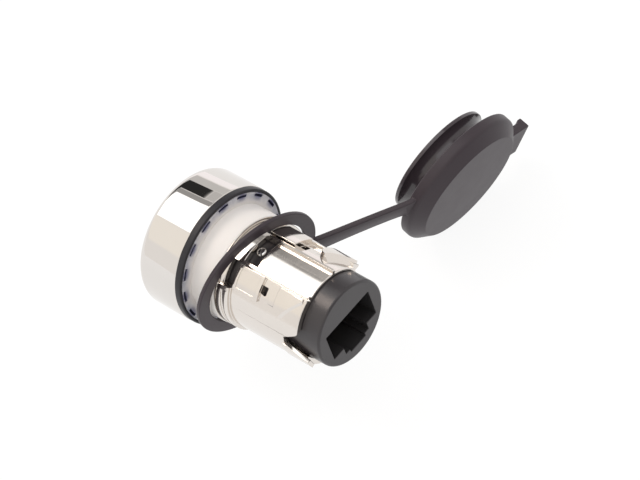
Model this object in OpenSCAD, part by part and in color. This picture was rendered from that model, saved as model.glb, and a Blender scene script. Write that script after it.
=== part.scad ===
// Panel mount ethernet socket: a round feed-through coupler for a 22 mm panel hole,
// with a chromed front ring, a die-cast sleeve behind the panel and a tethered rubber dust cap.
// Front faces -Y, the rear end points along +Y, contacts are up (+Z), latches are down.
// The origin is the centre of the plane that seats on the panel.

/* [Front ring] */
// Outside diameter of the front ring
bezel_d = 28.5; // [26:0.5:34]
// Height of the front face above the panel
bezel_h = 11.4; // [10.5:0.1:14]
// Rounding of the front edge
bezel_edge_r = 2; // [0.5:0.1:2.4]
// Diameter of the mouth that takes the cap's plug
mouth_d = 23; // [21.5:0.1:23.4]
// Thickness of the inner shoulder
shoulder_t = 1.4; // [1:0.1:2]
// Height of the black band between front ring and panel
band_h = 1.35; // [1:0.05:2]
// Inset of the band from the outside of the front ring
band_inset = 0.15; // [0.05:0.05:0.4]
// Radial width of the band
band_w = 0.6; // [0.4:0.05:0.9]

/* [Panel seal] */
// Wall of the hub that fills the panel hole, round the sleeve
hub_wall = 0.74; // [0.5:0.02:1]
// Length of the hub behind the panel's front
hub_len = 5.7; // [4:0.1:7]
// Number of pockets in the flange
pocket_count = 16; // [8:1:20]
// Length of a pocket round the flange
pocket_len = 2.6; // [1:0.1:2.8]
// Radial width of a pocket
pocket_w = 0.55; // [0.3:0.05:0.8]
// Depth of a pocket
pocket_depth = 0.9; // [0.4:0.1:1]
// Rim left between a pocket and the flange's edge
pocket_rim = 0.22; // [0.15:0.01:0.4]

/* [Sleeve] */
// Outside diameter of the plain barrel
barrel_d = 20.6; // [20.2:0.1:21]
// Distance from the panel seat to the rear rim
sleeve_len = 25.8; // [25:0.1:30]
// Thickness of the flange held in the front ring
flange_t = 1.3; // [1:0.1:1.8]
// How far that flange stands out from the barrel
flange_lip = 2; // [1.5:0.1:2.2]
// Wall of the barrel round the jack module
sleeve_wall = 1.33; // [1.2:0.01:1.5]
// Wall left under the recessed upper side
thin_wall = 0.55; // [0.4:0.05:0.7]
// Height of the raised pads above the barrel
pad_h = 0.55; // [0.2:0.05:0.6]
// Height of the bayonet band above the barrel
bayonet_h = 0.65; // [0.3:0.05:0.75]
// Width of the bayonet band along the axis
bayonet_w = 2.9; // [2:0.1:3]
// Half angle of the top channel
channel_half = 19; // [14:0.5:20]
// Width of the rails beside the channel, in degrees
rail_deg = 3; // [2:0.5:4]
// Angle from the top where the pads end
pad_end = 51; // [46:1:56]
// Length of the top window along the axis
window_len = 2.6; // [2.2:0.1:2.8]
// Length of the front pad
pad_len = 6.1; // [4:0.1:6.4]
// Gap between front pad and ramp pad
pad_gap = 3.9; // [3:0.1:4.4]
// Width of a ramp pad round the barrel
ramp_w = 5.3; // [4:0.1:5.6]
// Angle of a ramp pad's slanted edge from the barrel's cross section
ramp_slant = 40; // [30:1:50]
// How far the locating finger stands out behind the rim
finger_out = 1.9; // [1:0.1:4]
// Width of the locating finger, in degrees
finger_deg = 26; // [16:1:32]

/* [Jack module] */
// How far the module stands out behind the sleeve
module_out = 4.3; // [2:0.1:6]
// Rounding of the module's rear edge
module_edge_r = 0.5; // [0.2:0.1:1]
// How far the nose that shows in the mouth stands out from the module
nose_step = 0.55; // [0.3:0.05:0.8]
// How far the module's collar stands out from the nose
collar_lip = 1.8; // [1.4:0.1:1.9]
// Thickness of the module's collar
collar_t = 1.8; // [1.2:0.1:2.2]
// Thickness of the gasket in front of the collar
gasket_t = 0.8; // [0.5:0.1:1]
// Width of a jack opening
jack_w = 12.3; // [11.8:0.1:12.4]
// Height of a jack opening without the latch slot
jack_h = 6.75; // [6.5:0.05:6.9]
// Height of the contact side above the axis
jack_top = 2.9; // [2.8:0.05:3.1]
// Depth of a jack opening
jack_depth = 12.4; // [12:0.1:13]
// Width of the latch slot
latch_w = 6.7; // [6.2:0.1:7]
// Depth of the latch slot
latch_d = 1.75; // [1.4:0.05:1.9]
// Width of the slot for the latch's tongue
tongue_w = 4.3; // [3:0.1:4.6]
// Depth of the slot for the latch's tongue
tongue_d = 0.8; // [0.4:0.05:1]
// Distance from the panel seat to the seam between the two halves
seam_y = 7.4; // [7.2:0.1:8]

/* [Contacts] */
// Distance between neighbouring contacts
contact_pitch = 1.02; // [0.9:0.01:1.1]
// Width of a contact wire
wire_w = 0.42; // [0.3:0.01:0.5]
// Thickness of a contact wire
wire_t = 0.36; // [0.3:0.01:0.4]
// Distance from a jack's mouth to the contacts' bend
contact_setback = 4.4; // [4.2:0.1:5.5]
// Length of a contact's sloping end
spring_len = 7; // [5:0.1:7.2]
// Height of the contact carrier
carrier_h = 2.2; // [1.8:0.1:2.6]
// Width of the contact carrier
carrier_w = 10.4; // [9.4:0.1:11]

/* [Locking screw] */
// Diameter of the screw's head
screw_head_d = 2; // [1.6:0.1:2.1]
// Height of the screw's head
screw_head_h = 0.8; // [0.5:0.05:0.9]
// Diameter of the screw's shank
screw_d = 1.2; // [1:0.1:1.4]
// Length of the screw's shank
screw_len = 3; // [2:0.1:4]

/* [Dust cap] */
// Room between the tether ring and the bayonet band it hangs on
ring_slack = 0.74; // [0.7:0.02:1]
// Width of the tether ring
ring_w = 2.7; // [2:0.02:3]
// Thickness of the tether ring
ring_t = 0.9; // [0.7:0.1:1.2]
// How far behind the panel seat the ring lies
ring_y = 6.4; // [6.3:0.05:7.5]
// Tilt of the loose ring on the sleeve
ring_tilt = 15.3; // [13:0.1:15.5]
// Angle from the top, toward +X, of the ring's rearmost side
ring_tip = -41; // [-50:1:-30]
// Distance between the centres of ring and lid
cap_reach = 47.43; // [45:0.01:60]
// Width of the strap
strap_w = 4.2; // [3:0.1:5]
// Thickness of the strap
strap_t = 1.1; // [0.8:0.1:1.5]
// Diameter of the lid
lid_d = 29.6; // [26:0.2:31]
// Thickness of the lid
lid_t = 4.3; // [4:0.1:6]
// Radial width of the chamfer round the lid's face
lid_chamfer_w = 2.5; // [1.5:0.1:3]
// Height of that chamfer
lid_chamfer_h = 2.2; // [1.2:0.1:2.4]
// Rounding between chamfer and rim
lid_edge_r = 1.3; // [0.5:0.1:2]
// Height of the plug under the lid
plug_h = 4.4; // [3.8:0.1:4.6]
// Diameter of the plug's neck
neck_d = 20.4; // [19.4:0.1:21]
// Diameter of the plug's sealing lip
lip_d = 23.6; // [22.5:0.1:24]
// Wall of the hollow plug
plug_wall = 1.5; // [1:0.1:2]
// Width of the pull tab
tab_w = 7.8; // [5:0.1:9]
// How far the pull tab stands out
tab_out = 5.1; // [3:0.1:6]
// Thickness of the pull tab
tab_t = 1.9; // [1.4:0.1:2.1]

/* [Hidden] */
$fn = 96;
contact_count = 8;

// Gap between pieces that slide into each other, overshoot of a cut, and how far joined shapes overlap
slip = 0.06;
eps = 0.5;
bite = 0.3;
overlap = 0.8;
// Small rounding of moulded edges
edge_r = 0.3;

// Radii
mouth_lead = 0.5;
bezel_r = bezel_d / 2;
band_r = bezel_r - band_inset;
seal_r = band_r - band_w - slip;
barrel_r = barrel_d / 2;
hub_r = barrel_r + slip + hub_wall;
flange_r = barrel_r + flange_lip;
sleeve_bore_r = barrel_r - sleeve_wall;
module_r = sleeve_bore_r - 2 * slip;
nose_r = module_r + nose_step;
collar_r = nose_r + collar_lip;
floor_r = sleeve_bore_r + thin_wall;
pad_r = barrel_r + pad_h;
bayonet_r = barrel_r + bayonet_h;
ring_in_r = bayonet_r + ring_slack;
ring_r = ring_in_r + ring_w;
lid_r = lid_d / 2;

// Stations along the axis, from the front face to the rear end
front_y = -bezel_h;
flange_front = -band_h - flange_t;
collar_front = flange_front - collar_t;
gasket_front = collar_front - gasket_t;
nose_front = gasket_front - shoulder_t;
sleeve_rear = sleeve_len;
module_rear = sleeve_len + module_out;
front_pocket = nose_front + jack_depth;
rear_pocket = module_rear - jack_depth;

// Sleeve features behind the hub, along the axis in millimetres and round it in degrees from the top
bayonet_gap = 0.4;
window_gap = 0.6;
bayonet_front = hub_len + bayonet_gap;
bayonet_rear = bayonet_front + bayonet_w;
window_front = bayonet_rear + window_gap;
window_rear = window_front + window_len;
side_window_len = 2.4;
ledge_len = 0.5;
pad_rear = window_front + pad_len;
ramp_front = pad_rear + pad_gap;
ramp_rear = sleeve_rear - ledge_len;
rail_end = channel_half + rail_deg;
rail_gap = 1.6;
pad_start = rail_end + rail_gap;
pad_root = 1;
ramp_deg = 40;
ramp_turn = -88;
ramp_corner = 2;
ramp_end = 0.4;
ramp_draft = 40;
recess_end = 54;
nub_set = 0.8;
nub_start = pad_start + nub_set;
nub_deg = 4;
nub_len = 1.2;
nub_inset = 0.15;
slot_start = 32.4;
slot_deg = 9;
slot_set = 0.1;
slot_len = 1.3;
panel_depth = 0.14;
panel_rim = 0.75;
panel_rim_deg = 3.6;
notch_start = 60;
notch_end = 112;
notch_len = 3.3;
notch_slant = 29;
notch_top = 2.6;
finger_t = 0.65;
finger_lift = 0.2;
finger_top = 1.2;
bayonet_start = pad_end + pad_root;
bayonet_end = 150;
groove_w = 0.7;
groove_d = 0.3;
groove_set = 5;

// Locking screw, seated on a spot face on top of the module
screw_edge_r = 0.45;
screw_slot_w = 0.4;
screw_slot_d = 0.35;
screw_slot_turn = 35;
screw_set = 1.15;
screw_y = window_front + screw_set;
spot_depth = 0.15;
spot_gap = 0.15;
screw_hole_gap = 0.3;
screw_seat = module_r - spot_depth;

// Contact wire
bend_r = 0.42;
bend_deg = 75;
bend_steps = 8;
wire_roof = 0.42;
wire_z = jack_top - wire_roof;
wire_drop = 0.72;
wire_run = 1;
groove_gap = 0.05;
carrier_rise = 0.2;
carrier_top = jack_top + carrier_rise;

// Tether: ring frame and cap frame, each as origin, strap direction and normal, in the row frame
strap_dir = 205;
ring_normal = [sin(ring_tilt) * -sin(ring_tip), cos(ring_tilt), sin(ring_tilt) * -cos(ring_tip)];
ring_drop = 0.1;
ring_centre = [ring_drop, ring_y, -ring_drop];
ring_out = in_plane([cos(strap_dir), 0, sin(strap_dir)], ring_normal);
cap_dir = unit([-43.17, 14.18, -13.58]);
cap_centre = ring_centre + cap_reach * cap_dir;
cap_normal = unit([0.0937, 0.9407, -0.3261]);
cap_out = in_plane([-cos(strap_dir), 0, -sin(strap_dir)], cap_normal);
strap_start = ring_centre + ring_out * (ring_r - overlap);
strap_end = cap_centre + cap_out * (lid_r - overlap) - cap_normal * (lid_t - strap_t);
strap_pull = 3;
strap_sag = 1.1;
strap_steps = 14;
strap_corner = 0.25;
strap_sides = 8;
tab_drop = 2.15;
tab_bead = 0.5;
lip_t = 0.7;
flank_r = 2.2;

function unit(v) = v / norm(v);
function in_plane(v, n) = unit(v - n * (v * n) / (n * n));
function mix(a, b, t) = a * (1 - t) + b * t;
function bezier(p, t) = mix(mix(mix(p[0], p[1], t), mix(p[1], p[2], t), t),
                            mix(mix(p[1], p[2], t), mix(p[2], p[3], t), t), t);
function arc(c, r, a0, a1, n) = [for (i = [0:n]) c + r * [cos(mix(a0, a1, i / n)), sin(mix(a0, a1, i / n))]];

// Turns a shape whose z runs along the axis into the row frame: z to the rear, -y up
module turned() rotate([-90, 0, 0]) children();

// Carries a shape drawn at the top round to an angle, toward +X
module at_clock(a) rotate([0, 0, a]) children();

// Draws a shape on both sides of the upright plane
module both_sides() {
    children();
    mirror([1, 0, 0]) children();
}

// Places a shape drawn with x outward along the strap and z along the normal
module in_frame(origin, x, z) {
    y = cross(z, x);
    multmatrix([[x[0], y[0], z[0], origin[0]],
                [x[1], y[1], z[1], origin[1]],
                [x[2], y[2], z[2], origin[2]],
                [0, 0, 0, 1]]) children();
}

// A plain tube along the axis
module tube(r_out, r_in, y0, y1) {
    translate([0, 0, y0]) rotate_extrude() translate([r_in, 0]) square([r_out - r_in, y1 - y0]);
}

// A piece of a tube between two angles from the top
module tube_arc(r_in, r_out, a0, a1, y0, y1) {
    translate([0, 0, y0]) rotate([0, 0, a0 - 90]) rotate_extrude(angle = a1 - a0)
        translate([r_in, 0]) square([r_out - r_in, y1 - y0]);
}

// A rectangle with its upper outer corner rounded, for turning
module rounded_section(r_in, r_out, h, corner) {
    difference() {
        translate([r_in, 0]) square([r_out - r_in, h]);
        translate([r_out - corner, h - corner]) difference() {
            square(corner + eps);
            circle(corner);
        }
    }
}

// The chromed front ring: mouth for the cap, inner shoulder, seats for module and sleeve
module bezel_ring() {
    color("gainsboro") turned() difference() {
        translate([0, 0, -band_h]) mirror([0, 0, 1]) rotate_extrude()
            rounded_section(nose_r + slip, bezel_r, bezel_h - band_h, bezel_edge_r);
        translate([0, 0, front_y - eps]) cylinder(r = mouth_d / 2, h = nose_front - front_y + eps);
        translate([0, 0, gasket_front]) cylinder(r = collar_r + slip, h = bezel_h);
        translate([0, 0, flange_front]) cylinder(r = flange_r + slip, h = bezel_h);
        translate([0, 0, front_y - eps]) mouth_chamfer();
    }
}

// The lead-in at the edge of the mouth
module mouth_chamfer() {
    cylinder(r1 = mouth_d / 2 + mouth_lead + eps, r2 = mouth_d / 2, h = mouth_lead + eps);
}

// The black band that closes the gap between front ring and panel
module edge_band() {
    color([0.08, 0.08, 0.09]) turned() tube(band_r, band_r - band_w, -band_h, 0);
}

// The milky seal: a flange with pockets and a hub through the panel hole
module panel_seal() {
    color([0.93, 0.93, 0.9]) turned() difference() {
        union() {
            tube(seal_r, barrel_r + slip, -band_h, 0);
            translate([0, 0, -eps]) rotate_extrude()
                rounded_section(barrel_r + slip, hub_r, hub_len + eps, edge_r);
        }
        for (i = [0:pocket_count - 1]) at_clock((i + 0.5) * 360 / pocket_count) pocket();
    }
}

// One pocket in the flange of the seal
module pocket() {
    r = seal_r - pocket_rim;
    half = pocket_len / 2 / r * 180 / PI;
    tube_arc(r - pocket_w, r, -half, half, -pocket_depth, eps);
}

// The die-cast sleeve: barrel, top channel between rails, windows, pads, bayonet bands and finger
module sleeve() {
    color([0.86, 0.84, 0.8]) turned() {
        difference() {
            union() {
                tube(barrel_r, sleeve_bore_r, flange_front + slip, sleeve_rear);
                tube(flange_r, barrel_r - bite, flange_front + slip, -band_h);
                both_sides() bayonet_band();
                both_sides() front_pad();
            }
            pad_panel();
            channel();
            both_sides() rail_groove();
            both_sides() pad_slot();
            ramp_recess();
            both_sides() side_window();
            both_sides() rear_notch();
        }
        for (a = [0, ramp_turn]) at_clock(ramp_deg + a) ramp_pad();
        nub();
        finger();
    }
}

// The shallow channel along the top and the window at its front end
module channel() {
    tube_arc(floor_r, bayonet_r + eps, -channel_half, channel_half, window_front, sleeve_rear + eps);
    tube_arc(sleeve_bore_r - bite, floor_r + bite, -channel_half, channel_half, window_front, window_rear);
}

// The groove beside a rail
module rail_groove() {
    tube_arc(floor_r, bayonet_r, rail_end, pad_start, window_front - bite, sleeve_rear + eps);
}

// The slot through the wall behind a front pad
module pad_slot() {
    slot_front = pad_rear + slot_set;
    tube_arc(sleeve_bore_r - bite, bayonet_r, slot_start, slot_start + slot_deg,
             slot_front, slot_front + slot_len);
}

// The recess on the -X side, between the rail and the ramp pad
module ramp_recess() {
    tube_arc(floor_r, bayonet_r, -recess_end, bite - pad_start, pad_rear, sleeve_rear + eps);
}

// The window between collar and front pad
module side_window() {
    tube_arc(sleeve_bore_r - bite, bayonet_r + eps, rail_end, pad_end + pad_root / 2,
             window_front - side_window_len, window_front);
}

// The pad behind the side window
module front_pad() {
    tube_arc(barrel_r - bite, pad_r, pad_start - bite, pad_end, window_front - bite, pad_rear + slot_set / 2);
}

// The sunk panel in the front pad on the +X side
module pad_panel() {
    tube_arc(pad_r - panel_depth, pad_r + eps, pad_start + panel_rim_deg, pad_end - panel_rim_deg,
             window_front + panel_rim, pad_rear - panel_rim);
}

// A ramp pad drawn at the top: a rounded front corner and a slanted rear edge with a sloping face
module ramp_pad() {
    size = 4 * barrel_r;
    edge_x = ramp_w / 2;
    edge_y = ramp_rear - ramp_end - (ramp_w - ramp_end) * tan(ramp_slant);
    difference() {
        intersection() {
            tube(pad_r, floor_r - bite, ramp_front - eps, ramp_rear + eps);
            rotate([90, 0, 0]) linear_extrude(2 * barrel_r) ramp_outline();
        }
        translate([edge_x, -pad_r, edge_y]) rotate([0, ramp_slant - 90, 0]) rotate([0, 0, -ramp_draft])
            translate([0, -size / 2, -size / 2]) cube(size);
    }
}

// The outline of a ramp pad, x round the barrel and y along it
module ramp_outline() {
    translate([-ramp_w / 2, ramp_front]) difference() {
        square([ramp_w, ramp_rear - ramp_front]);
        translate([ramp_w - ramp_corner, ramp_corner]) difference() {
            translate([0, -ramp_corner - eps]) square(ramp_corner + eps);
            circle(ramp_corner);
        }
    }
}

// The nub beside the rail at the rear end
module nub() {
    tube_arc(barrel_r - bite, pad_r - nub_inset, nub_start, nub_start + nub_deg,
             ramp_rear - nub_len, ramp_rear - nub_inset);
}

// Everything above a slanted plane that passes height z at station y and rises to the rear by an angle
module half_space(z, y, slant) {
    size = 4 * barrel_r;
    translate([0, -z, y]) rotate([slant, 0, 0]) translate([0, -size, -size / 2]) cube(size);
}

// A bayonet band round the side, with a groove along its middle
module bayonet_band() {
    mid = (bayonet_front + bayonet_rear) / 2;
    difference() {
        tube_arc(barrel_r - bite, bayonet_r, bayonet_start, bayonet_end, bayonet_front, bayonet_rear);
        tube_arc(bayonet_r - groove_d, bayonet_r + eps, bayonet_start + groove_set, bayonet_end + eps,
                 mid - groove_w / 2, mid + groove_w / 2);
    }
}

// The notch in the rear rim, with its slanted upper edge
module rear_notch() {
    front = sleeve_rear - notch_len;
    difference() {
        tube_arc(sleeve_bore_r - bite, bayonet_r, notch_start, notch_end, front, sleeve_rear + eps);
        half_space(notch_top, front, notch_slant);
    }
}

// The locating finger in the notch on the +X side, with its slanted upper edge
module finger() {
    front = sleeve_rear - notch_len;
    difference() {
        tube_arc(barrel_r - finger_t, barrel_r + finger_lift, notch_end - finger_deg - eps, notch_end - eps,
                 front - bite, sleeve_rear + finger_out);
        half_space(finger_top, front, -notch_slant);
    }
}

// The slotted screw in the top window
module locking_screw() {
    color("silver") screw_frame() difference() {
        union() {
            translate([0, 0, -screw_len]) cylinder(d = screw_d, h = screw_len + screw_head_h / 2);
            rotate_extrude() rounded_section(0, screw_head_d / 2, screw_head_h, screw_edge_r);
        }
        translate([-screw_head_d, -screw_slot_w / 2, screw_head_h - screw_slot_d])
            cube([2 * screw_head_d, screw_slot_w, screw_slot_d + eps]);
    }
}

// The place of the screw, with z along its shank
module screw_frame() {
    translate([0, screw_y, screw_seat]) rotate([0, 0, screw_slot_turn]) children();
}

// The flat gasket between shoulder and module
module module_gasket() {
    color([0.12, 0.12, 0.12]) turned()
        tube(collar_r - slip, nose_r + slip, gasket_front, collar_front);
}

// The outline of a jack opening with its latch slot, contact side up, drawn with -y up
module jack_outline() {
    latch_top = jack_h - jack_top;
    translate([-jack_w / 2, -jack_top]) square([jack_w, jack_h]);
    translate([-latch_w / 2, latch_top - eps]) square([latch_w, latch_d + eps]);
    translate([-tongue_w / 2, latch_top - eps]) square([tongue_w, latch_d + tongue_d + eps]);
}

// The passage for the contact carrier
module carrier_passage() {
    translate([-carrier_w / 2 - slip, -carrier_top - slip, front_pocket - eps])
        cube([carrier_w + 2 * slip, carrier_h + 2 * slip, rear_pocket - front_pocket + 2 * eps]);
}

// The front half of the module: nose, collar and front jack
module front_jack() {
    color([0.13, 0.13, 0.14]) turned() difference() {
        union() {
            translate([0, 0, collar_front]) mirror([0, 0, 1]) rotate_extrude()
                rounded_section(0, nose_r, collar_front - nose_front, edge_r);
            translate([0, 0, collar_front]) cylinder(r = collar_r, h = collar_t);
            translate([0, 0, collar_front]) cylinder(r = module_r, h = seam_y - collar_front);
        }
        translate([0, 0, nose_front - eps]) linear_extrude(jack_depth + eps) jack_outline();
        carrier_passage();
    }
}

// The rear half of the module with the rear jack and the seat of the screw
module rear_jack() {
    color([0.13, 0.13, 0.14]) difference() {
        turned() difference() {
            translate([0, 0, seam_y]) rotate_extrude()
                rounded_section(0, module_r, module_rear - seam_y, module_edge_r);
            translate([0, 0, rear_pocket]) linear_extrude(jack_depth + eps) jack_outline();
            carrier_passage();
        }
        screw_frame() {
            cylinder(d = screw_head_d + 2 * spot_gap, h = spot_depth + eps);
            translate([0, 0, -screw_len - screw_hole_gap])
                cylinder(d = screw_d + slip, h = screw_len + screw_hole_gap + eps / 2);
        }
    }
}

// The comb that carries the contact wires through the middle of the module
module contact_carrier() {
    floor_z = wire_z - wire_t / 2 - groove_gap;
    color([0.2, 0.2, 0.21]) difference() {
        translate([-carrier_w / 2, front_pocket, carrier_top - carrier_h])
            cube([carrier_w, rear_pocket - front_pocket, carrier_h]);
        for (i = [1:contact_count])
            translate([contact_x(i) - wire_w / 2 - groove_gap, front_pocket - eps, floor_z])
                cube([wire_w + 2 * groove_gap, rear_pocket - front_pocket + 2 * eps, carrier_top]);
    }
}

// A contact wire's place across the module
function contact_x(i) = (i - (contact_count + 1) / 2) * contact_pitch;

// Centre line of one half of a wire, from the middle of the module out to its free end
function wire_half(mid, bend, side) = concat(
    [[mid, wire_z]],
    [for (p = arc([0, -bend_r], bend_r, 90, -bend_deg, bend_steps)) [bend + side * p[0], wire_z + p[1]]],
    [[bend - side * spring_len, wire_z - 2 * bend_r - wire_drop]]);

// Moves a line sideways by d, with mitred corners
function beside(p, d) = [for (i = [0:len(p) - 1])
    let (a = unit(p[min(i + 1, len(p) - 1)] - p[min(i, len(p) - 2)]),
         b = unit(p[max(i, 1)] - p[max(i - 1, 0)]),
         m = unit(a + b))
    p[i] + d / (m * a) * [-m[1], m[0]]];
function backwards(p) = [for (i = [len(p) - 1:-1:0]) p[i]];

// One contact wire, from the spring end in the front jack to the one in the rear jack
module contact(i) {
    mid = (front_pocket + rear_pocket) / 2;
    front_bend = nose_front + contact_setback;
    rear_bend = module_rear - contact_setback;
    line = concat(backwards(wire_half(mid, front_bend, -1)), wire_half(mid + wire_run, rear_bend, 1));
    color("gold") translate([contact_x(i) - wire_w / 2, 0, 0])
        rotate([90, 0, 90]) linear_extrude(wire_w)
            polygon(concat(beside(line, wire_t / 2), backwards(beside(line, -wire_t / 2))));
}

// The rubber moulding: loose ring, strap and cap with its plug and pull tab
module dust_cap() {
    color([0.2, 0.2, 0.21]) {
        in_frame(ring_centre, ring_out, ring_normal) translate([0, 0, -ring_t / 2]) rotate_extrude()
            translate([ring_in_r, 0]) square([ring_w, ring_t]);
        strap();
        in_frame(cap_centre, cap_out, cap_normal) cap();
    }
}

// The strap, swept along a curve that leaves the ring in its own plane and sags a little before the lid
module strap() {
    lid_pull = cap_out * strap_pull - cap_normal * strap_sag;
    path = [strap_start, strap_start + ring_out * strap_pull, strap_end + lid_pull, strap_end];
    sides = strap_sides;
    points = [for (i = [0:strap_steps]) each strap_ring(path, i / strap_steps)];
    faces = concat(
        [for (i = [0:strap_steps - 1], j = [0:sides - 1])
            [i * sides + j, (i + 1) * sides + j,
             (i + 1) * sides + (j + 1) % sides, i * sides + (j + 1) % sides]],
        [[for (j = [0:sides - 1]) j]],
        [[for (j = [sides - 1:-1:0]) strap_steps * sides + j]]);
    polyhedron(points, faces, convexity = 4);
}

// One section of the strap, a flat bar with its corners cut
function strap_ring(path, t) =
    let (p = bezier(path, t),
         along = unit(bezier(path, min(1, t + 0.01)) - bezier(path, max(0, t - 0.01))),
         up = in_plane(mix(ring_normal, cap_normal, t), along),
         across = cross(up, along),
         corner = strap_corner,
         w = strap_w / 2,
         h = strap_t / 2)
    [for (q = [[w, corner - h], [w, h - corner], [w - corner, h], [corner - w, h],
               [-w, h - corner], [-w, corner - h], [corner - w, -h], [w - corner, -h]])
        p + across * q[0] + up * q[1]];

// The cap: lid with its flat outer face on z = 0, hollow plug below it
module cap() {
    difference() {
        union() {
            translate([0, 0, -lid_t]) rotate_extrude() lid_section();
            translate([0, 0, -lid_t - plug_h]) rotate_extrude() plug_section();
            pull_tab();
        }
        translate([0, 0, -lid_t - plug_h - eps])
            cylinder(d = neck_d - 2 * plug_wall, h = plug_h + lid_t / 3 + eps);
    }
}

// Half section of the lid: flat face, chamfer, and a rounding between chamfer and rim
module lid_section() {
    slope = atan2(lid_chamfer_h, lid_chamfer_w);
    rim = lid_t - lid_chamfer_h;
    away = [sin(slope), cos(slope)];
    centre = [lid_r - lid_edge_r, rim - lid_edge_r * tan(45 - slope / 2)];
    difference() {
        square([lid_r, lid_t]);
        polygon([[lid_r - lid_chamfer_w, lid_t], [lid_r, rim], [lid_r + eps, rim], [lid_r + eps, lid_t + eps],
                 [lid_r - lid_chamfer_w, lid_t + eps]]);
        difference() {
            polygon([centre, centre + [lid_edge_r + eps, 0], [lid_r + eps, rim + eps],
                     centre + (lid_edge_r + eps) * away]);
            translate(centre) circle(lid_edge_r);
        }
    }
}

// Half section of the plug: neck, hollow flank and thin sealing lip at the bottom
module plug_section() {
    difference() {
        square([lip_d / 2, plug_h + eps]);
        translate([neck_d / 2, lip_t + flank_r]) square([lip_d, plug_h]);
        translate([neck_d / 2 + flank_r, lip_t + flank_r]) circle(flank_r);
        translate([neck_d / 2 + flank_r, lip_t]) square([lip_d, plug_h]);
    }
}

// The pull tab opposite the strap, with a bead along its tip
module pull_tab() {
    reach = lid_r + tab_out;
    translate([-reach, -tab_w / 2, -tab_drop - tab_t]) {
        cube([reach / 2, tab_w, tab_t]);
        translate([0, 0, -tab_bead]) cube([2 * tab_bead, tab_w, tab_t + tab_bead]);
    }
}

bezel_ring();
edge_band();
panel_seal();
sleeve();
locking_screw();
module_gasket();
front_jack();
rear_jack();
contact_carrier();
dust_cap();
for (i = [1:contact_count]) contact(i);
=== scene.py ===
"""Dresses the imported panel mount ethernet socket: plated metal, moulded plastic, rubber cap, studio."""

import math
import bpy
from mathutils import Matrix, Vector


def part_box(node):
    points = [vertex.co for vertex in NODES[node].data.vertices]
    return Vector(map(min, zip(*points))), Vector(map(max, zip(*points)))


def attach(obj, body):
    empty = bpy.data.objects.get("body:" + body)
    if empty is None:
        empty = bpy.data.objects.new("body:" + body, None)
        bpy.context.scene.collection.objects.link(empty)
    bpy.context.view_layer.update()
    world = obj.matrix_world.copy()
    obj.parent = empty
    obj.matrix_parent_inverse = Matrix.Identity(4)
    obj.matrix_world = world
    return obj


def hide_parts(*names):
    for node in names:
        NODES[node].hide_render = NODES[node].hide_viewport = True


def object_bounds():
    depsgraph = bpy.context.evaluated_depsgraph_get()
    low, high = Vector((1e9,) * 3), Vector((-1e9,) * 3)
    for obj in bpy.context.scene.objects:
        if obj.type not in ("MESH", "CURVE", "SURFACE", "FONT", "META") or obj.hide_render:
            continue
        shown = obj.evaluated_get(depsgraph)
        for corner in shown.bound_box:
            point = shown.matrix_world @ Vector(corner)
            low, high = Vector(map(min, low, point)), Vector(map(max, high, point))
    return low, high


bl_info = {
    "name": "Panel mount ethernet socket",
    "version": (1, 0, 0),
    "blender": (4, 5, 0),
    "location": "View3D > Sidebar > Socket",
    "description": "Builds the finished pieces of a panel mount ethernet socket round its CAD frame",
    "category": "Object",
}

import bmesh
import bpy
from bpy.props import FloatProperty, FloatVectorProperty, IntProperty, PointerProperty
from mathutils import Matrix, Vector
from mathutils.geometry import intersect_point_line
from mathutils.kdtree import KDTree

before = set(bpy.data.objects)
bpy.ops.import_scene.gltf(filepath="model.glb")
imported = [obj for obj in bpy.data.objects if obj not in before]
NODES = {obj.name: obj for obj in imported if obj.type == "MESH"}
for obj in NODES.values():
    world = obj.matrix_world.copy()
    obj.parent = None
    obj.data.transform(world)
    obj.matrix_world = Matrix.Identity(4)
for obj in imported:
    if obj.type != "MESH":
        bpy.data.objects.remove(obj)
CAD_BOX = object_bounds()
MM = 0.001
POCKETS = 16  # in the seal's flange

# An edge that bends by more than SHARP gets rounded; one that bends by more than FOLDED lies folded over
SHARP, FOLDED = math.radians(35), math.radians(150)

# The barrel's axis is +Y: a shape turned about Z is laid along it
AXIS = Matrix.Rotation(-math.pi / 2, 4, "X")


def srgb(code):
    """A hex colour as linear red, green, blue and alpha."""
    raw = [int(code[i : i + 2], 16) / 255 for i in (1, 3, 5)]
    return [c / 12.92 if c <= 0.04045 else ((c + 0.055) / 1.055) ** 2.4 for c in raw] + [1.0]


def colour(title, words, code):
    """A colour that a user may change."""
    return FloatVectorProperty(
        name=title, description=words, default=srgb(code), size=4, subtype="COLOR", min=0, max=1
    )


def length(title, words, mm):
    """A length that a user may change, given in millimetres."""
    return FloatProperty(name=title, description=words, default=mm * MM, min=0, unit="LENGTH", precision=5)


class SocketSizes(bpy.types.PropertyGroup):
    """Sizes of the finish: edges, tapers and the rubber moulding."""

    turned_steps: IntProperty(
        name="Turned steps", description="Facets round a turned piece", default=160, min=48
    )
    chrome_edge: length("Chrome edge", "Rounding of the front ring's crisp edges", 0.12)
    skirt_len: length("Skirt length", "Length of the front ring's tapered skirt", 2.35)
    skirt_in: length("Skirt taper", "How far the skirt's end lies inside the ring's outside", 0.07)
    sleeve_edge: length("Sleeve edge", "Rounding of the casting's edges", 0.13)
    sleeve_rim: length("Sleeve rim", "Rounding of the outside of the sleeve's end", 0.28)
    module_edge: length("Module edge", "Rounding of the jack module's edges", 0.12)
    seal_edge: length("Seal edge", "Rounding of the seal's edges", 0.1)
    screw_edge: length("Screw edge", "Rounding of the screw's edges", 0.06)
    rubber_edge: length("Rubber edge", "Rounding of the dust cap's edges", 0.22)
    root_flare: length("Strap flare", "How far each side of the strap widens at its roots", 0.3)


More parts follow.
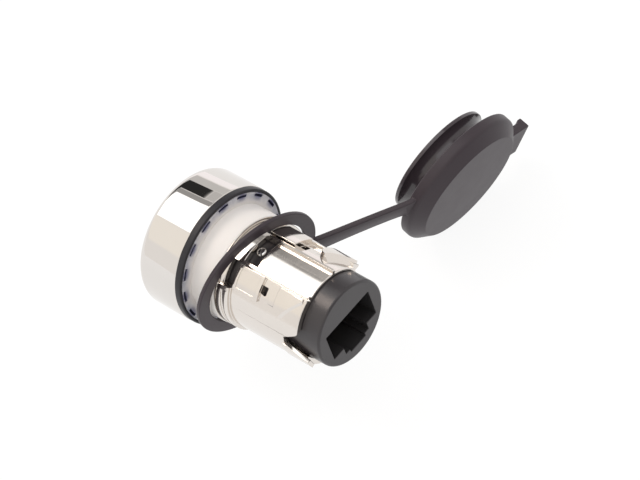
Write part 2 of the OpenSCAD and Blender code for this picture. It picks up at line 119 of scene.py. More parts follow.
class SocketColours(bpy.types.PropertyGroup):
    """Colours of the finishes."""

    chrome: colour("Chrome", "Chromium plate", "#dcd8d4")
    nickel: colour("Nickel", "Bright nickel plate on the casting", "#ded8d2")
    steel: colour("Steel", "Polished steel of the screw", "#d4d2d0")
    seal: colour("Seal", "Milky moulded seal", "#e6e2df")
    # painted shade: the next two colours grey the seal's flange and blur round its pockets, standing for
    # the dark ring behind seen through the milky plastic
    flange: colour("Seal flange", "Seal where the dark ring behind it shows through", "#a6a8b4")
    pocket_shade: colour("Seal pockets", "Blur round the seal's pockets", "#6c6c86")
    # painted shade: the bottoms of the seal's pockets are drawn dark, standing for the dark ring behind
    # seen through them
    backing: colour("Seal backing", "Dark ring seen through the bottom of the pockets", "#40425a")
    band: colour("Band", "Black edge band", "#2a292d")
    module: colour("Module", "Black moulded module", "#2b272a")
    # painted shade: the inside of the jack openings is drawn darker than the module
    throat_shade: colour("Throat", "Inside of the jack openings", "#121013")
    carrier: colour("Carrier", "Contact carrier", "#242325")
    rubber: colour("Rubber", "Dark grey rubber of the dust cap", "#3a3338")
    gasket: colour("Gasket", "Black gasket rubber", "#1c1d2a")
    gold: colour("Gold", "Gold plate on the contacts", "#e7bd6a")
    floor: colour("Floor", "What the pale glowing floor gives back of the room's light", "#5c5c5c")


def sizes():
    return bpy.context.scene.socket_sizes


def colours():
    return bpy.context.scene.socket_colours


# Finishes


def add(tree, kind, inputs=None, **settings):
    """Adds a shader node with its settings and links, and gives back its outputs.

    An input is a value, or another node's output.
    """
    node = tree.nodes.new("ShaderNode" + kind)
    for key, value in settings.items():
        setattr(node, key, value)
    for key, value in (inputs or {}).items():
        if isinstance(value, bpy.types.NodeSocket):
            tree.links.new(value, node.inputs[key])
        else:
            node.inputs[key].default_value = value
    return node.outputs


def finish(name, base, rough, shade, cloud_mm, grain_mm, depth_mm, **shader):
    """A material whose colour and shine drift in clouds, over a grain that stands up by depth_mm.

    rough is the roughness and shade the share of the base colour, each at the clouds' two ends.
    """
    material = bpy.data.materials.new(name)
    material.use_nodes = True
    tree = material.node_tree
    surface = tree.nodes["Principled BSDF"].inputs
    for key, value in shader.items():
        surface[key.replace("_", " ")].default_value = value
    place = add(tree, "TexCoord")["Object"]
    cloud = add(tree, "TexNoise", {"Vector": place, "Scale": 1 / (cloud_mm * MM), "Detail": 3})["Fac"]
    grain = add(tree, "TexNoise", {"Vector": place, "Scale": 1 / (grain_mm * MM), "Detail": 3})["Fac"]
    # most of a noise lies between 0.3 and 0.7
    spread = {"From Min": 0.3, "From Max": 0.7, "To Min": rough[0], "To Max": rough[1]}
    dull = add(tree, "MapRange", {"Value": cloud, **spread})["Result"]
    ends = {key: [min(1, c * share) for c in base[:3]] + [1] for key, share in zip("AB", shade)}
    tone = add(tree, "Mix", {"Factor": cloud, **ends}, data_type="RGBA")["Result"]
    skin = add(tree, "Bump", {"Height": grain, "Distance": depth_mm * MM})["Normal"]
    for key, output in (("Base Color", tone), ("Roughness", dull), ("Normal", skin)):
        tree.links.new(output, surface[key])
    return material


def chromium_plate():
    # chromium on a turned and buffed brass ring: a clear mirror with a faint haze left by wiping
    return finish(
        "buffed_chromium_plate",
        colours().chrome,
        rough=(0.02, 0.05),
        shade=(0.985, 1.01),
        cloud_mm=4,
        grain_mm=1.5,
        depth_mm=0.0004,
        Metallic=1,
    )


def nickel_plate():
    # bright nickel over a zinc die casting: warmer than chromium, with the casting's soft ripple under it
    return finish(
        "bright_nickel_on_cast_zinc",
        colours().nickel,
        rough=(0.11, 0.16),
        shade=(0.96, 1.03),
        cloud_mm=5,
        grain_mm=2.5,
        depth_mm=0.006,
        Metallic=1,
    )


def polished_steel():
    # turned steel: tool marks, 0.05 mm apart and drawn at 0.3 mm so that they show, mottle its shine
    return finish(
        "turned_steel",
        colours().steel,
        rough=(0.08, 0.2),
        shade=(0.9, 1),
        cloud_mm=0.3,
        grain_mm=0.3,
        depth_mm=0.002,
        Metallic=1,
    )


def gold_plate():
    # gold flash on drawn phosphor bronze wire: a yellow mirror, dulled a little in small patches
    return finish(
        "gold_plated_bronze_wire",
        colours().gold,
        rough=(0.12, 0.26),
        shade=(0.86, 1),
        cloud_mm=0.6,
        grain_mm=0.3,
        depth_mm=0.001,
        Metallic=1,
    )


def moulded_black(name, base, rough=(0.28, 0.38)):
    # glass-filled polyester, moulded: black with the fine even grain of a spark-eroded mould;
    # the grain of 0.05 mm is drawn at 0.35 mm so that it shows
    return finish(
        name, base, rough, shade=(0.86, 1.08), cloud_mm=4, grain_mm=0.35, depth_mm=0.012, IOR=1.55
    )


def moulded_rubber(name, base, rough=(0.4, 0.43), depth_mm=0.008, gleam=0.25):
    # compression-moulded elastomer: dark, with an even soft sheen and the mould's fine grain;
    # the grain of 0.08 mm is drawn at 0.4 mm so that it shows
    return finish(
        name,
        base,
        rough,
        shade=(0.95, 1.03),
        cloud_mm=3,
        grain_mm=0.4,
        depth_mm=depth_mm,
        IOR=1.5,
        Specular_IOR_Level=gleam,
    )


def milky_polymer():
    # translucent polymer, moulded: white, with light carried a millimetre or so under its skin
    material = finish(
        "milky_moulded_polymer",
        colours().seal,
        rough=(0.42, 0.55),
        shade=(0.95, 1),
        cloud_mm=3.5,
        grain_mm=0.5,
        depth_mm=0.008,
        IOR=1.45,
        Specular_IOR_Level=0.35,
        Subsurface_Weight=0.3,
        Subsurface_Scale=1 * MM,
        Subsurface_Radius=(1.3, 1.2, 1.1),
    )
    # its flange lies on a dark ring; the grey patches and the blur round its pockets are painted shade,
    # standing for that ring seen through the milky plastic
    tree = material.node_tree
    skin = tree.nodes["Principled BSDF"].inputs["Base Color"]
    milk = skin.links[0].from_socket
    place = add(tree, "TexCoord")["Object"]
    patch_mm = 2.6
    patch = add(tree, "TexNoise", {"Vector": place, "Scale": 1 / (patch_mm * MM), "Detail": 2})["Fac"]
    split = add(tree, "SeparateXYZ", {"Vector": place})
    flat = add(tree, "CombineXYZ", {"X": split["X"], "Z": split["Z"]})["Vector"]
    radius = add(tree, "VectorMath", {0: flat}, operation="LENGTH")["Value"]
    turn = add(tree, "Math", {0: split["X"], 1: split["Z"]}, operation="ARCTAN2")["Value"]
    pitch = add(tree, "Math", {0: turn, 1: POCKETS}, operation="MULTIPLY")["Value"]
    wave = add(tree, "Math", {0: pitch}, operation="COSINE")["Value"]
    # what is measured, its two ends, the mask at each of them, and the layer that the mask belongs to
    masks = (
        (radius, (11.3 * MM, 12.9 * MM), (0, 1), "grey"),
        (split["Y"], (0.1 * MM, 1.2 * MM), (1, 0), "both"),
        (patch, (0.35, 0.65), (0.45, 1), "grey"),
        (wave, (-0.9, 0.35), (1, 0), "blur_shade"),
        (radius, (11.7 * MM, 12.6 * MM), (0, 0.95), "blur_shade"),
    )
    grey = blur_shade = None
    for value, (start, end), (low, high), layer in masks:
        ends = {"From Min": start, "From Max": end, "To Min": low, "To Max": high}
        part = add(tree, "MapRange", {"Value": value, **ends})["Result"]
        if layer != "blur_shade":
            grey = add(tree, "Math", {0: grey, 1: part}, operation="MULTIPLY")["Value"] if grey else part
        if layer != "grey":
            blur_shade = add(tree, "Math", {0: blur_shade, 1: part}, operation="MULTIPLY")["Value"] if blur_shade else part
    # painted shade: first the grey patches, then the blur round the pockets, are mixed into the milky
    # colour
    tone = milk
    for share, base in ((grey, colours().flange), (blur_shade, colours().pocket_shade)):
        tone = add(tree, "Mix", {"Factor": share, "A": tone, "B": list(base)}, data_type="RGBA")["Result"]
    tree.links.new(tone, skin)
    return material


# Modelling


def only(piece):
    """Selects one object and makes it the active one."""
    bpy.ops.object.select_all(action="DESELECT")
    piece.select_set(True)
    bpy.context.view_layer.objects.active = piece


def editing(piece, select="SELECT"):
    """Opens a piece in edit mode with all of it selected, or none."""
    only(piece)
    bpy.ops.object.mode_set(mode="EDIT")
    bpy.ops.mesh.select_all(action=select)


def done_editing():
    bpy.ops.object.mode_set(mode="OBJECT")


def apply_modifier(piece, kind, **settings):
    """Adds a modifier with its settings and applies it."""
    only(piece)
    modifier = piece.modifiers.new(kind.lower(), kind)
    for key, value in settings.items():
        setattr(modifier, key, value)
    bpy.ops.object.modifier_apply(modifier=modifier.name)


def settle(piece, matrix):
    """Moves a piece to its place and puts the place into its mesh."""
    piece.matrix_world = matrix
    only(piece)
    bpy.ops.object.transform_apply(location=True, rotation=True, scale=True)


def smooth(piece, degrees=32):
    only(piece)
    bpy.ops.object.shade_smooth_by_angle(angle=math.radians(degrees))


def hand_over(piece, slot, node, *materials, second=None):
    """Gives a finished piece its materials and its body, and hides the node, if any, that it stands for.

    second says by a face's centre whether it takes the second material. slot is not used.
    """
    if not piece.data.polygons:
        raise RuntimeError(piece.name + " has no faces")
    piece.data.materials.clear()
    for material in materials:
        piece.data.materials.append(material)
    for face in piece.data.polygons:
        face.material_index = int(bool(second and second(face.center)))
    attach(piece, "root")
    if node:
        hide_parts(node)


def softened(points, radii, steps=6):
    """A line of points with each corner rounded by its radius."""
    out = []
    for i, point in enumerate(points):
        radius = radii[i]
        p = Vector(point)
        if radius <= 0 or i in (0, len(points) - 1):
            out.append(p)
            continue
        a = (Vector(points[i - 1]) - p).normalized()
        b = (Vector(points[i + 1]) - p).normalized()
        half = math.acos(max(-1, min(1, a.dot(b)))) / 2
        reach = radius / math.tan(half)
        centre = p + (a + b).normalized() * radius / math.sin(half)
        start = p + a * reach - centre
        end = p + b * reach - centre
        turn = math.atan2(start.x * end.y - start.y * end.x, start.dot(end))
        for k in range(steps + 1):
            angle = turn * k / steps
            c, s = math.cos(angle), math.sin(angle)
            out.append(centre + Vector((start.x * c - start.y * s, start.x * s + start.y * c)))
    return out


def turned(name, profile, closed=True):
    """Turns a profile of (radius, height) about Z: a circle, extruded and resized from point to point.

    An open profile starts and ends on the axis.
    """
    steps = sizes().turned_steps
    bpy.ops.object.select_all(action="DESELECT")
    radius, height = profile[0]
    fill = "NOTHING" if closed else "TRIFAN"
    bpy.ops.mesh.primitive_circle_add(
        vertices=steps, radius=radius, fill_type=fill, location=(0, 0, 0), enter_editmode=True
    )
    piece = bpy.context.object
    piece.name = piece.data.name = name
    bpy.ops.transform.translate(value=(0, 0, height))
    if not closed:
        bpy.ops.mesh.region_to_loop()
    for next_radius, next_height in profile[1:]:
        bpy.ops.mesh.extrude_edges_move(TRANSFORM_OT_translate={"value": (0, 0, next_height - height)})
        scale = next_radius / radius
        bpy.ops.transform.resize(value=(scale, scale, 1), center_override=(0, 0, next_height))
        radius, height = next_radius, next_height
    if not closed:
        bpy.ops.mesh.edge_face_add()
        bpy.ops.mesh.poke()
    bpy.ops.mesh.select_all(action="SELECT")
    bpy.ops.mesh.remove_doubles(threshold=0.0001 * MM)
    bpy.ops.mesh.normals_make_consistent(inside=False)
    done_editing()
    return piece


def from_node(node, name):
    """A copy of a CAD node's mesh as a new piece, its loose triangles merged and its flats made whole."""
    piece = bpy.data.objects.new(name, NODES[node].data.copy())
    bpy.context.scene.collection.objects.link(piece)
    piece.data.name = name
    piece.data.materials.clear()
    same, level = 0.002 * MM, math.radians(0.6)
    editing(piece)
    bpy.ops.mesh.customdata_custom_splitnormals_clear()
    bpy.ops.mesh.remove_doubles(threshold=same)
    bpy.ops.mesh.dissolve_limited(angle_limit=level, use_dissolve_boundaries=False)
    done_editing()
    return piece


def has_room(edge, reach):
    """Whether the faces on both sides of an edge are wide enough for its rounding."""
    narrow, abreast = math.radians(25), 0.8
    start, end = (vert.co for vert in edge.verts)
    along = (end - start).normalized()
    for face in edge.link_faces:
        for other in face.edges:
            shared = [vert for vert in edge.verts if vert in other.verts]
            if other == edge:
                continue
            if shared:
                one, two = (e.other_vert(shared[0]).co - shared[0].co for e in (edge, other))
                if one.angle(two, 0) < narrow:
                    return False
                continue
            low, high = (vert.co for vert in other.verts)
            for point in (start, (start + end) / 2, end):
                share = intersect_point_line(point, low, high)[1]
                gap = low.lerp(high, min(1, max(0, share))) - point
                if gap.length < reach and abs(gap.dot(along)) < abreast * gap.length:
                    return False
    return True


def folded(mesh, flats):
    """Places where a mesh folds back on itself: at an edge or, if asked, in a flat that crosses itself."""
    turned_over, speck = math.radians(60), 0.002 * MM * MM
    pairs = [e.verts for e in mesh.edges if e.is_manifold and e.calc_face_angle() > FOLDED]
    for loops in mesh.calc_loop_triangles() if flats else []:
        a, b, c = (loop.vert for loop in loops)
        lie = (b.co - a.co).cross(c.co - a.co)
        if lie.length > speck and lie.angle(loops[0].face.normal, 0) > turned_over:
            pairs.append(min(((a, b), (b, c), (c, a)), key=lambda pair: (pair[0].co - pair[1].co).length))
    return [(one.co + two.co) / 2 for one, two in pairs]


def break_edges(piece, width, flats=False):
    """Rounds a piece's sharp edges as moulds and casting dies do: fully where there is room, else finely.

    Where the rounding folds over itself, it starts again and leaves the edges there sharp, in a wider
    and wider circle. If the last attempt still folds, every edge stays sharp.
    """
    plain, folds = piece.data.copy(), []
    step, same, room, fine = 0.7 * MM, 0.001 * MM, 2.2, 0.35
    attempts, circle, growth = 14, 0.3 * MM, 0.15 * MM
    for attempt in range(attempts):
        clear = circle + growth * attempt
        tree = KDTree(len(folds))
        for k, place in enumerate(folds):
            tree.insert(place, k)
        tree.balance()
        for share in (1, fine):
            editing(piece, "DESELECT")
            mesh = bmesh.from_edit_mesh(piece.data)
            for edge in [e for e in mesh.edges if e.is_manifold and e.calc_face_angle() > SHARP]:
                corner = edge.verts[0]
                for k in range(int(edge.calc_length() / step), 1, -1):
                    corner = bmesh.utils.edge_split(edge, corner, 1 / k)[1]
            for edge in mesh.edges:
                if edge.is_manifold and edge.calc_face_angle() > SHARP:
                    near = any(tree.find_range(vert.co, clear) for vert in edge.verts)
                    edge.select = not near and has_room(edge, room * share * width)
            bmesh.update_edit_mesh(piece.data)
            bpy.ops.mesh.bevel(offset=share * width, segments=3, clamp_overlap=False, miter_outer="ARC")
            bpy.ops.mesh.select_all(action="SELECT")
            bpy.ops.mesh.remove_doubles(threshold=same)
            found = folded(bmesh.from_edit_mesh(piece.data), flats)
            done_editing()
        if not found:
            break
        folds += found
        piece.data = plain.copy()
    piece.data.name = piece.name
    smooth(piece)
    apply_modifier(piece, "WEIGHTED_NORMAL", keep_sharp=True)


# Pieces


class SOCKET_OT_front_ring(bpy.types.Operator):
    """Turns the chromed front ring with its mouth, shoulder and tapered skirt"""

    bl_idname = "socket.front_ring"
    bl_label = "Front ring"

    def execute(self, context):
        low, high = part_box("bezel_ring")
        outside = high.x
        front, back = low.y, high.y
        edge = sizes().chrome_edge
        skirt = back - sizes().skirt_len
        mouth, shoulder, collar, flange = 11.5 * MM, 9.46 * MM, 11.26 * MM, 12.36 * MM
        nose, gasket, seat = -6.65 * MM, -5.25 * MM, -2.65 * MM
        corner, lead = 2.0 * MM, 0.5 * MM
        inside = outside - sizes().skirt_in
        points = [
            (flange, (seat + back) / 2),
            (flange, back),
            (inside, back),
            (outside, skirt),
            (outside, front),
            (mouth + lead, front),
            (mouth, front + lead),
            (mouth, nose),
            (shoulder, nose),
            (shoulder, gasket),
            (collar, gasket),
            (collar, seat),
            (flange, seat),
            (flange, (seat + back) / 2),
        ]
        radii = [0, edge, 2 * edge, 0, corner, edge, edge, edge, edge, edge, edge, edge, edge, 0]
        piece = turned("chrome_front_ring", softened(points, radii, steps=8))
        settle(piece, AXIS)
        smooth(piece, degrees=12)
        hand_over(piece, "chrome_plate", "bezel_ring", chromium_plate())
        return {"FINISHED"}


class SOCKET_OT_edge_band(bpy.types.Operator):
    """Turns the black band between front ring and panel"""

    bl_idname = "socket.edge_band"
    bl_label = "Edge band"

    def execute(self, context):
        low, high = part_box("edge_band")
        outside, width = high.x, 0.6 * MM
        round_in, round_out = 0.12 * MM, 0.28 * MM
        middle = (low.y + high.y) / 2
        points = [
            (outside - width, middle),
            (outside - width, high.y),
            (outside, high.y),
            (outside, low.y),
            (outside - width, low.y),
            (outside - width, middle),
        ]
        piece = turned("black_edge_band", softened(points, [0, round_in, round_out, round_in, round_in, 0]))
        settle(piece, AXIS)
        smooth(piece, degrees=40)
        hand_over(piece, "black_band", "edge_band", moulded_rubber("black_nitrile_band", colours().band))
        return {"FINISHED"}


class SOCKET_OT_panel_seal(bpy.types.Operator):
    """Finishes the milky seal, with painted shade for the dark ring behind it at the bottom of its pockets
    """

    bl_idname = "socket.panel_seal"
    bl_label = "Panel seal"

    def execute(self, context):
        piece = from_node("panel_seal", "milky_panel_seal")
        break_edges(piece, sizes().seal_edge)
        inside, outside = 12.5 * MM, 13.3 * MM
        bottom, top = -1.3 * MM, -0.25 * MM

        def in_pocket(at):
            return inside < math.hypot(at.x, at.z) < outside and bottom < at.y < top

        # painted shade: the pockets' faces take a dark rubber, standing for the dark ring behind seen
        # through them
        dark = moulded_rubber("seal_backing_painted_shade", colours().backing)
        hand_over(piece, "milky_seal", "panel_seal", milky_polymer(), dark, second=in_pocket)
        return {"FINISHED"}


class SOCKET_OT_sleeve(bpy.types.Operator):
    """Finishes the nickel-plated die-cast sleeve"""

    bl_idname = "socket.sleeve"
    bl_label = "Sleeve"

    def execute(self, context):
        piece = from_node("sleeve", "nickel_sleeve")
        width, end, near = sizes().sleeve_rim, 25.8 * MM, 0.05 * MM
        level, upright, room = 0.99, 0.95, 1.5
        # the outside of the end is rounder than the other edges, and shows as a pale line round the module
        editing(piece, "DESELECT")
        mesh = bmesh.from_edit_mesh(piece.data)
        for edge in mesh.edges:
            middle = (edge.verts[0].co + edge.verts[1].co) / 2
            outward = Vector((middle.x, 0, middle.z)).normalized()
            flat = any(face.normal.y > level for face in edge.link_faces)
            side = any(face.normal.dot(outward) > upright for face in edge.link_faces)
            if flat and side and abs(middle.y - end) < near:
                edge.select = has_room(edge, room * width)
        bmesh.update_edit_mesh(piece.data)
        bpy.ops.mesh.bevel(offset=width, segments=4, clamp_overlap=False)
        done_editing()
        break_edges(piece, sizes().sleeve_edge)
        hand_over(piece, "nickel_plate", "sleeve", nickel_plate())
        return {"FINISHED"}


class SOCKET_OT_stop_washer(bpy.types.Operator):
    """Turns the thin plated washer between the seal's end and the tether ring"""

    bl_idname = "socket.stop_washer"
    bl_label = "Stop washer"

    def execute(self, context):
        inside, outside, thick, edge = 10.36 * MM, 11.0 * MM, 0.1 * MM, 0.04 * MM
        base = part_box("panel_seal")[1].y
        top, middle = base + thick, base + thick / 2
        points = [
            (inside, middle),
            (inside, base),
            (outside, base),
            (outside, top),
            (inside, top),
            (inside, middle),
        ]
        piece = turned("plated_stop_washer", softened(points, [0, 0, 0, edge, edge, 0], steps=3))
        settle(piece, AXIS)
        smooth(piece, degrees=40)
        hand_over(piece, "nickel_plate", None, nickel_plate())
        return {"FINISHED"}


class SOCKET_OT_locking_screw(bpy.types.Operator):
    """Finishes the small slotted screw in the sleeve's top window"""

    bl_idname = "socket.locking_screw"
    bl_label = "Locking screw"

    def execute(self, context):
        piece = from_node("locking_screw", "slotted_locking_screw")
        break_edges(piece, sizes().screw_edge)
        hand_over(piece, "screw_steel", "locking_screw", polished_steel())
        return {"FINISHED"}


class SOCKET_OT_jack_module(bpy.types.Operator):
    """Finishes the two halves of the black module, the carrier, the gasket and the contacts"""

    bl_idname = "socket.jack_module"
    bl_label = "Jack module"

    def execute(self, context):
        black = moulded_black("black_moulded_polyester", colours().module)
        # the inside of the openings takes a rougher plastic whose darker colour is painted shade, standing
        # for the deep shade in them
        throat_shade = moulded_black("matt_polyester_painted_shade", colours().throat_shade, rough=(0.6, 0.75))
        inside, skin = 8 * MM, 0.25 * MM
        halves = (("front_jack", "module_front_half", 0), ("rear_jack", "module_rear_half", 1))
        for node, name, side in halves:
            piece = from_node(node, name)
            break_edges(piece, sizes().module_edge, flats=True)
            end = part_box(node)[side].y

            # faces deep inside an opening take the painted shade
            def in_throat_shade(at):
                return abs(at.y - end) > skin and math.hypot(at.x, at.z) < inside

            hand_over(piece, "module_plastic", node, black, throat_shade, second=in_throat_shade)
        gold = gold_plate()
        inner = {
            "contact_carrier": moulded_black("carrier_polyester", colours().carrier),
            "module_gasket": moulded_rubber("gasket_rubber", colours().gasket),
        }
        for node, holder in NODES.items():
            material = inner.get(node) or (gold if node.startswith("contact_") else None)
            if material:
                holder.data.materials.clear()
                holder.data.materials.append(material)
        return {"FINISHED"}


def in_plane(vector, normal):
    """The part of a vector that lies across a normal, as a unit vector."""
    return (vector - normal * vector.dot(normal)).normalized()


def frame_of(origin, outward, normal):
    """A matrix whose x runs outward along the strap and whose z runs along the normal."""
    across = normal.cross(outward)
    matrix = Matrix((outward, across, normal)).transposed().to_4x4()
    matrix.translation = origin
    return matrix


class SOCKET_OT_dust_cap(bpy.types.Operator):
    """Models the rubber moulding: tether ring, strap, cap with its plug, and pull tab"""

    bl_idname = "socket.dust_cap"
    bl_label = "Dust cap"

    # the moulding's places and sizes, as in the part's source
    TILT, TIP, STRAP_DIR = math.radians(15.3), math.radians(-41), math.radians(205)
    RING_AT = Vector((0.1, 6.4, -0.1)) * MM
    CAP_AT = Vector((-43.07, 20.58, -13.68)) * MM
    CAP_NORMAL = Vector((0.0937, 0.9407, -0.3261)).normalized()
    RING_OUT, RING_IN, RING_T = 14.39 * MM, 11.69 * MM, 0.9 * MM
    LID_R, LID_T = 14.8 * MM, 4.3 * MM

    def ring(self, where):
        """The flat tether ring with rounded edges."""
        edge = sizes().rubber_edge
        half = self.RING_T / 2
        points = [
            (self.RING_IN, 0),
            (self.RING_IN, -half),
            (self.RING_OUT, -half),
            (self.RING_OUT, half),
            (self.RING_IN, half),
            (self.RING_IN, 0),
        ]
        piece = turned("tether_ring", softened(points, [0, edge, edge, edge, edge, 0]))
        settle(piece, where)
        return piece

    def cap(self, where):
        """The lid with its chamfer, and the hollow plug with its hollow flank and thin lip."""
        edge = sizes().rubber_edge
        face, rim = 12.3 * MM, -2.2 * MM
        neck, lip, hollow = 10.2 * MM, 11.8 * MM, 8.7 * MM
        bottom, roof, flank_end = -8.7 * MM, -2.87 * MM, -5.8 * MM
        flank, flank_steps, small = 2.2 * MM, 10, 0.1 * MM
        points = [
            (small, 0),
            (face, 0),
            (self.LID_R, rim),
            (self.LID_R, -self.LID_T),
            (neck, -self.LID_T),
        ]
        # the lid's face, its rim, its underside and the root of the plug
        radii = [0, 0.35 * MM, 1.3 * MM, 1.5 * edge, 0.5 * MM]
        sweep = math.acos((neck + flank - lip) / flank)
        for k in range(flank_steps + 1):
            angle = sweep * k / flank_steps
            points.append((neck + flank * (1 - math.cos(angle)), flank_end - flank * math.sin(angle)))
            radii.append(0)
        radii[-1] = edge / 2
        points += [(lip, bottom), (hollow, bottom), (hollow, roof), (small, roof)]
        radii += [edge, edge, 2 * edge, 0]
        piece = turned("cap_lid", softened(points, radii, steps=8), closed=False)
        settle(piece, where)
        return piece

    def tab(self, where):
        """The pull tab opposite the strap, with a bead under its tip."""
        width, thick, drop, bead = 7.8 * MM, 1.9 * MM, 2.15 * MM, 0.5 * MM
        tip, root = 19.9 * MM, 11.0 * MM
        bpy.ops.object.select_all(action="DESELECT")
        bpy.ops.mesh.primitive_cube_add(size=1, enter_editmode=True)
        piece = bpy.context.object
        piece.name = piece.data.name = "pull_tab"
        bpy.ops.transform.resize(value=(tip - root, width, thick))
        bpy.ops.transform.translate(value=(-(tip + root) / 2, 0, -drop - thick / 2))
        for cut in (tip - 2 * bead, tip - 3 * bead):
            bpy.ops.mesh.select_all(action="SELECT")
            bpy.ops.mesh.bisect(plane_co=(-cut, 0, 0), plane_no=(1, 0, 0))
        bpy.ops.mesh.select_all(action="DESELECT")
        mesh = bmesh.from_edit_mesh(piece.data)
        for vert in mesh.verts:
            vert.select = vert.co.z < -drop - thick / 2 and vert.co.x < -(tip - 2.5 * bead)
        mesh.select_flush_mode()
        bpy.ops.transform.translate(value=(0, 0, -bead))
        done_editing()
        break_edges(piece, sizes().rubber_edge)
        settle(piece, where)
        return piece

    def strap(self, ring_frame, cap_frame):
        """The strap, extruded along a curve that leaves the ring in its plane and sags before the lid."""
        width, thick, sink = 4.2 * MM, 1.1 * MM, 0.8 * MM
        pull, sag, flare_len = 3 * MM, 1.1 * MM, 1.6 * MM
        stations, nudge, blunt = 40, 0.005, 0.3
        ring_out, ring_up = ring_frame.col[0].xyz, ring_frame.col[2].xyz
        cap_out, cap_up = cap_frame.col[0].xyz, cap_frame.col[2].xyz
        start = self.RING_AT + ring_out * (self.RING_OUT - sink)
        end = self.CAP_AT + cap_out * (self.LID_R - sink) - cap_up * (self.LID_T - thick)
        line = [start, start + ring_out * pull, end + cap_out * pull - cap_up * sag, end]

        def at(t):
            a, b, c, d = (1 - t) ** 3, 3 * t * (1 - t) ** 2, 3 * t * t * (1 - t), t**3
            return line[0] * a + line[1] * b + line[2] * c + line[3] * d

        corner = sizes().rubber_edge
        half = [
            (width / 2, -thick / 2 + corner),
            (width / 2, thick / 2 - corner),
            (width / 2 - corner * blunt, thick / 2 - corner * blunt),
            (width / 2 - corner, thick / 2),
        ]
        section = half + [(-x, y) for x, y in reversed(half)]
        section += [(-x, -y) for x, y in half[2:]] + [(x, -y) for x, y in reversed(half[2:])]
        bpy.ops.object.select_all(action="DESELECT")
        bpy.ops.mesh.primitive_circle_add(
            vertices=len(section),
            radius=width / 2,
            fill_type="NGON",
            location=(0, 0, 0),
            enter_editmode=True,
        )
        piece = bpy.context.object
        piece.name = piece.data.name = "cap_strap"
        for i in range(stations + 1):
            t = i / stations
            if i:
                bpy.ops.mesh.extrude_region_move()
            mesh = bmesh.from_edit_mesh(piece.data)
            ring = [v for v in mesh.verts if v.select]
            along = (at(min(1, t + nudge)) - at(max(0, t - nudge))).normalized()
            up = in_plane(ring_up.lerp(cap_up, t), along)
            across = up.cross(along)
            near_root = min(t, 1 - t) * (end - start).length
            flare = 1 + 2 * sizes().root_flare / width * math.exp(-((near_root / flare_len) ** 2))
            if not i:
                turn = sorted(ring, key=lambda v: math.atan2(v.co.y, v.co.x))
                order = {v: k for k, v in enumerate(turn)}
                places = sorted(section, key=lambda p: math.atan2(p[1], p[0]))
            else:
                order = {v: min(last, key=lambda k: (last[k] - v.co).length) for v in ring}
            last = {}
            for vert, k in order.items():
                x, y = places[k]
                vert.co = at(t) + across * x * flare + up * y
                last[k] = vert.co.copy()
            bmesh.update_edit_mesh(piece.data)
        bpy.ops.mesh.select_all(action="SELECT")
        bpy.ops.mesh.remove_doubles(threshold=0.0001 * MM)
        bpy.ops.mesh.normals_make_consistent(inside=False)
        done_editing()
        return piece

    def execute(self, context):
        ring_normal = Vector(
            (
                -math.sin(self.TILT) * math.sin(self.TIP),
                math.cos(self.TILT),
                -math.sin(self.TILT) * math.cos(self.TIP),
            )
        )
        toward = Vector((math.cos(self.STRAP_DIR), 0, math.sin(self.STRAP_DIR)))
        ring_frame = frame_of(self.RING_AT, in_plane(toward, ring_normal), ring_normal)
        cap_frame = frame_of(self.CAP_AT, in_plane(-toward, self.CAP_NORMAL), self.CAP_NORMAL)
        piece = self.cap(cap_frame)
        for other in (self.strap(ring_frame, cap_frame), self.ring(ring_frame), self.tab(cap_frame)):
            apply_modifier(piece, "BOOLEAN", operation="UNION", object=other, solver="MANIFOLD")
            bpy.data.objects.remove(other)
        piece.name = piece.data.name = "rubber_dust_cap"
        smooth(piece, degrees=38)
        to_cap = cap_frame.inverted()
        plug, below = 12 * MM, -self.LID_T - 0.2 * MM

        def on_plug(at):
            place = to_cap @ at
            return math.hypot(place.x, place.y) < plug and place.z < below

        satin = moulded_rubber("moulded_grey_rubber", colours().rubber)
        glossy = moulded_rubber(
            "polished_plug_rubber", colours().rubber, rough=(0.13, 0.17), depth_mm=0.002, gleam=0.55
        )
        hand_over(piece, "cap_rubber", "dust_cap", satin, glossy, second=on_plug)
        return {"FINISHED"}


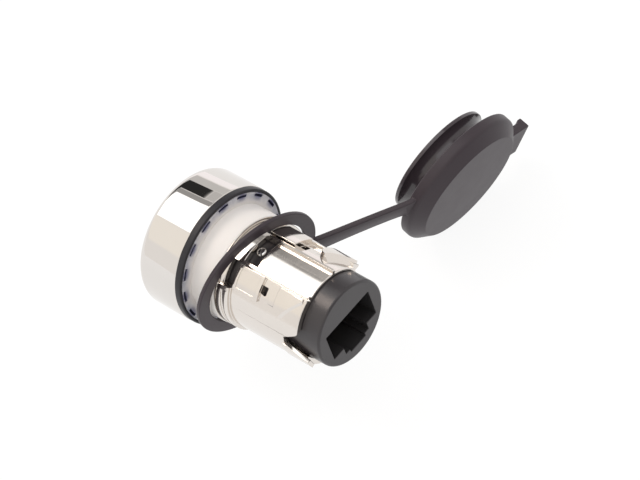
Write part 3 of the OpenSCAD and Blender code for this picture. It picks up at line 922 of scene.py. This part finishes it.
class SOCKET_OT_stage(bpy.types.Operator):
    """Sets the pale floor, the soft studio light and the camera"""

    bl_idname = "socket.stage"
    bl_label = "Stage"

    def floor(self):
        """A wide pale floor under the lowest point, glowing a little like a light table."""
        wide, clear = 6, 0.2 * MM
        bpy.ops.object.select_all(action="DESELECT")
        bpy.ops.mesh.primitive_plane_add(size=wide, location=(0, 0, 0), enter_editmode=True)
        bpy.ops.mesh.subdivide(number_cuts=3)
        bpy.ops.transform.translate(value=(0, 0, CAD_BOX[0].z - clear))
        done_editing()
        piece = bpy.context.object
        piece.name = "studio_floor"
        # matt opal acrylic over a light: white, with hardly a shadow
        material = finish(
            "matt_opal_acrylic",
            colours().floor,
            rough=(0.88, 0.92),
            shade=(0.99, 1),
            cloud_mm=60,
            grain_mm=8,
            depth_mm=0.01,
            Specular_IOR_Level=0.1,
            Emission_Color=srgb("#ffffff"),
            Emission_Strength=0.9,
        )
        piece.data.materials.append(material)

    def tent(self):
        """The light tent: a pale room with a bright panel overhead and a dark slot beside it."""
        world = bpy.data.worlds.new("light_tent")
        bpy.context.scene.world = world
        world.use_nodes = True
        tree = world.node_tree
        back = tree.nodes["Background"]
        direction = add(tree, "TexCoord")["Generated"]
        split = add(tree, "SeparateXYZ", {"Vector": direction})
        turn = add(tree, "Math", {0: split["X"], 1: split["Z"]}, operation="ARCTAN2")["Value"]
        room = 1.02
        light = [room * c for c in srgb("#fdfaf7")[:3]] + [1]
        # light, colour, then from, to and blur: turned from the top toward +X in degrees, and lengthways
        patches = [
            (0.3, "#f6f0f4", (-181, 181, 0.5), (0.82, 2, 0.14)),
            (1.1, "#fffaf2", (22, 62, 3), (-2, 2, 0.01)),
            (1.25, "#fdf9fb", (-140, -76, 2), (-0.95, 0.1, 0.02)),
            (1.7, "#ffffff", (-27, 21.5, 0.35), (-0.95, 0.45, 0.01)),
            (8, "#ffeee2", (-6, 19, 2), (-0.63, -0.43, 0.03)),
            (0.45, "#f2f0ee", (-36, -27, 0.35), (-0.95, 0.3, 0.01)),
            (0.03, "#ffffff", (-58, -37, 0.4), (-0.95, -0.54, 0.01)),
            (0.68, "#f6f4f2", (-58, -37, 0.4), (-0.535, 0.1, 0.01)),
            (0.75, "#f6f4f2", (-74, -58.5, 0.35), (-0.95, 0.1, 0.01)),
        ]
        for strength, code, around, along in patches:
            where = 1.0
            for value, (low, high, blur) in ((turn, map(math.radians, around)), (split["Y"], along)):
                for edge, inside in ((low, 1), (high, 0)):
                    ends = {"From Min": edge - blur, "From Max": edge + blur}
                    ends.update({"To Min": 1 - inside, "To Max": inside})
                    side = add(tree, "MapRange", {"Value": value, **ends}, interpolation_type="SMOOTHSTEP")
                    where = add(tree, "Math", {0: where, 1: side["Result"]}, operation="MULTIPLY")["Value"]
            tone = [c * strength for c in srgb(code)[:3]] + [1]
            light = add(tree, "Mix", {"Factor": where, "A": light, "B": tone}, data_type="RGBA")["Result"]
        tree.links.new(light, back.inputs["Color"])

    def camera(self):
        """The camera at the photograph's viewing angle, fitted to the edges of ring, barrel and module."""
        data = bpy.data.cameras.new("studio_camera")
        data.sensor_width = 36
        data.lens = 196.875
        data.clip_end = 20
        camera = bpy.data.objects.new("studio_camera", data)
        bpy.context.scene.collection.objects.link(camera)
        right = Vector((-0.6287, 0.7421, -0.2325))
        up = Vector((-0.6972, -0.4054, 0.5912))
        matrix = Matrix((right, up, right.cross(up))).transposed().to_4x4()
        matrix.translation = Vector((215.14, 364.18, 509.02)) * MM
        camera.matrix_world = matrix
        bpy.context.scene.camera = camera

    def execute(self, context):
        self.floor()
        self.tent()
        self.camera()
        context.scene.view_settings.view_transform = "Standard"
        return {"FINISHED"}


class SOCKET_PT_tools(bpy.types.Panel):
    """Lists the socket's pieces, sizes and colours"""

    bl_label = "Panel mount socket"
    bl_idname = "SOCKET_PT_tools"
    bl_space_type = "VIEW_3D"
    bl_region_type = "UI"
    bl_category = "Socket"

    def draw(self, context):
        for operator in OPERATORS:
            self.layout.operator(operator.bl_idname)
        for group in (context.scene.socket_sizes, context.scene.socket_colours):
            box = self.layout.box()
            for key in group.bl_rna.properties.keys():
                if key not in ("rna_type", "name"):
                    box.prop(group, key)


OPERATORS = (
    SOCKET_OT_stage,
    SOCKET_OT_front_ring,
    SOCKET_OT_edge_band,
    SOCKET_OT_panel_seal,
    SOCKET_OT_sleeve,
    SOCKET_OT_stop_washer,
    SOCKET_OT_locking_screw,
    SOCKET_OT_jack_module,
    SOCKET_OT_dust_cap,
)
CLASSES = (SocketSizes, SocketColours, *OPERATORS, SOCKET_PT_tools)


def register():
    for item in CLASSES:
        bpy.utils.register_class(item)
    bpy.types.Scene.socket_sizes = PointerProperty(type=SocketSizes)
    bpy.types.Scene.socket_colours = PointerProperty(type=SocketColours)


def unregister():
    del bpy.types.Scene.socket_colours
    del bpy.types.Scene.socket_sizes
    for item in reversed(CLASSES):
        bpy.utils.unregister_class(item)


def main():
    register()
    for operator in OPERATORS:
        group, name = operator.bl_idname.split(".")
        getattr(getattr(bpy.ops, group), name)()


if __name__ == "__main__":
    main()
